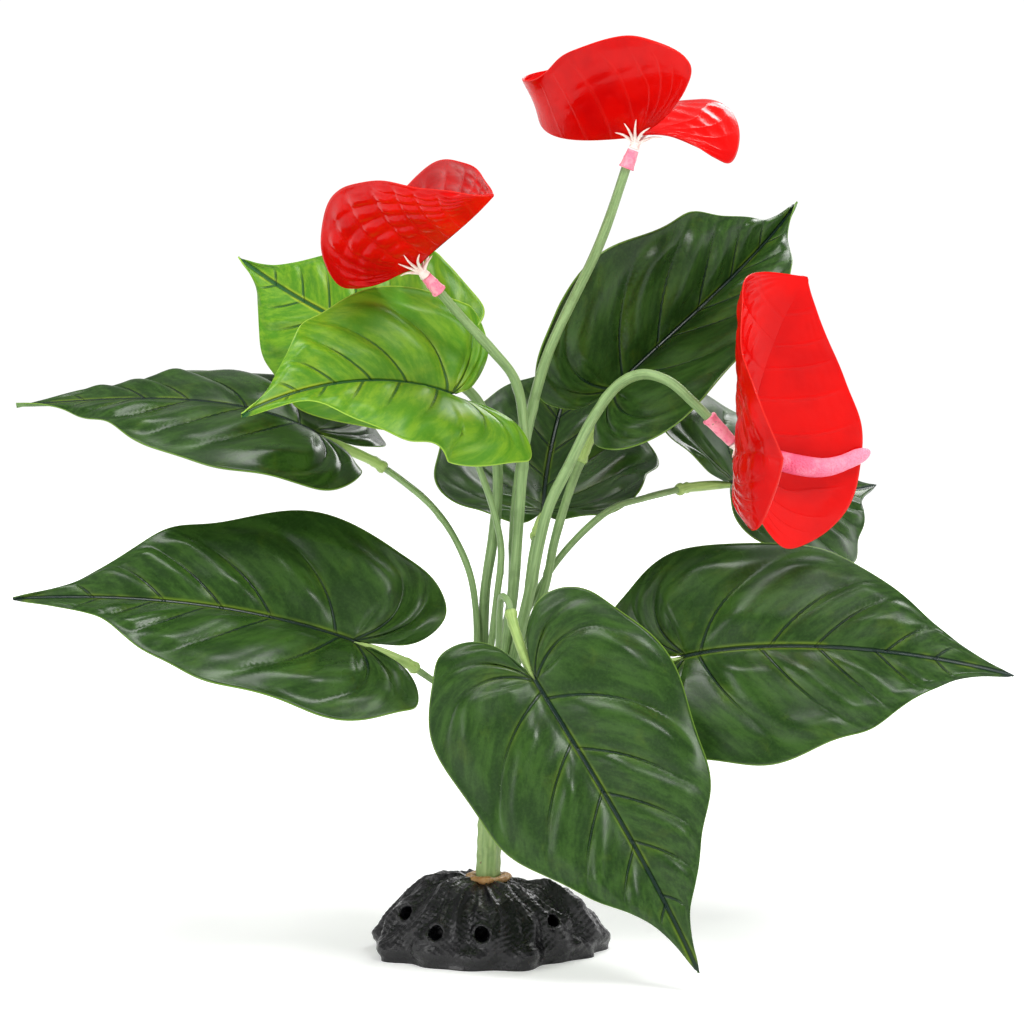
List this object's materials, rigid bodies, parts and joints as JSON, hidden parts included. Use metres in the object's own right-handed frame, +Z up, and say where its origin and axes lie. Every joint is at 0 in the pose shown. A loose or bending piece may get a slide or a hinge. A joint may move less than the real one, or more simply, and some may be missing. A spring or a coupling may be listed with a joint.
{
  "type": "artificial potted anthurium on a resin rock base",
  "caption": "Upright moulded plastic anthurium with heart-shaped leaves and folded red flowers on a lumpy black resin rock with a flat underside.",
  "frame": {"origin": "middle of the flat underside of the resin rock", "axes": "+Z up the stalk, +X to the viewer's right, -Y towards the front of the plant"},
  "size_m": [0.4012, 0.2323, 0.3652],
  "materials": {
    "resin_rock": "gloss",
    "glue": "gloss",
    "stalk": "satin",
    "stem": "satin",
    "leaf_socket": "satin",
    "dark_leaf": "satin",
    "light_leaf": "satin",
    "spathe": "gloss",
    "ferrule": "satin",
    "calyx": "satin",
    "spadix": "satin"
  },
  "bodies": {
    "root": {"base_rock": "resin_rock", "adhesive": "glue", "trunk": "stalk", "petiole_front": "stem", "socket_front": "leaf_socket", "blade_front": "dark_leaf", "petiole_left_low": "stem", "socket_left_low": "leaf_socket", "blade_left_low": "dark_leaf", "petiole_left_high": "stem", "socket_left_high": "leaf_socket", "blade_left_high": "dark_leaf", "petiole_right_low": "stem", "socket_right_low": "leaf_socket", "blade_right_low": "dark_leaf", "petiole_back_up": "stem", "socket_back_up": "leaf_socket", "blade_back_up": "dark_leaf", "petiole_back_centre": "stem", "socket_back_centre": "leaf_socket", "blade_back_centre": "dark_leaf", "petiole_back_right": "stem", "socket_back_right": "leaf_socket", "blade_back_right": "dark_leaf", "petiole_green_front": "stem", "socket_green_front": "leaf_socket", "blade_green_front": "light_leaf", "petiole_green_back": "stem", "socket_green_back": "leaf_socket", "blade_green_back": "light_leaf", "flower_stem_top": "stem", "ferrule_top": "ferrule", "calyx_top": "calyx", "spathe_top": "spathe", "spadix_top": "spadix", "flower_stem_left": "stem", "ferrule_left": "ferrule", "calyx_left": "calyx", "spathe_left": "spathe", "spadix_left": "spadix", "flower_stem_right": "stem", "ferrule_right": "ferrule", "calyx_right": "calyx", "spathe_right": "spathe", "spadix_right": "spadix"}
  },
  "joints": []
}
